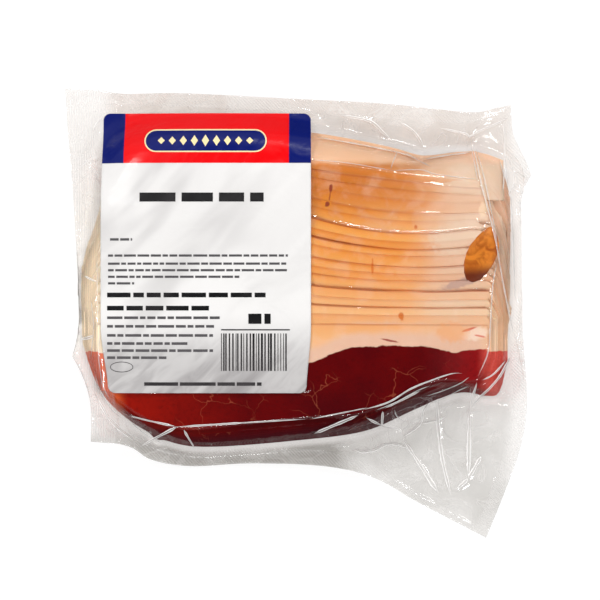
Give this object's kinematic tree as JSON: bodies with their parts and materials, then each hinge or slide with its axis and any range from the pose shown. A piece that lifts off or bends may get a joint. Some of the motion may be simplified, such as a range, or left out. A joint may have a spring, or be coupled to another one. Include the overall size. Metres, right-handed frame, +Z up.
{
  "type": "vacuum pack of sliced bacon",
  "caption": "Clear vacuum pack of sliced back bacon with a stack of smoked rind edges, crumpled film flanges and a printed label, lying on its back",
  "frame": {"origin": "floor, under the middle of the pack's outline", "axes": "+Z up through the thin way of the pack, +X to the reader's right, +Y to the top of the label"},
  "size_m": [0.2238, 0.2164, 0.0398],
  "materials": {
    "bacon_film": "clear glossy film drawn tight over smoked fat and dark lean meat",
    "label_paper": "white coated label with a glossy red and navy header"
  },
  "bodies": {
    "root": {"bag": "bacon_film", "label": "label_paper"}
  },
  "joints": []
}
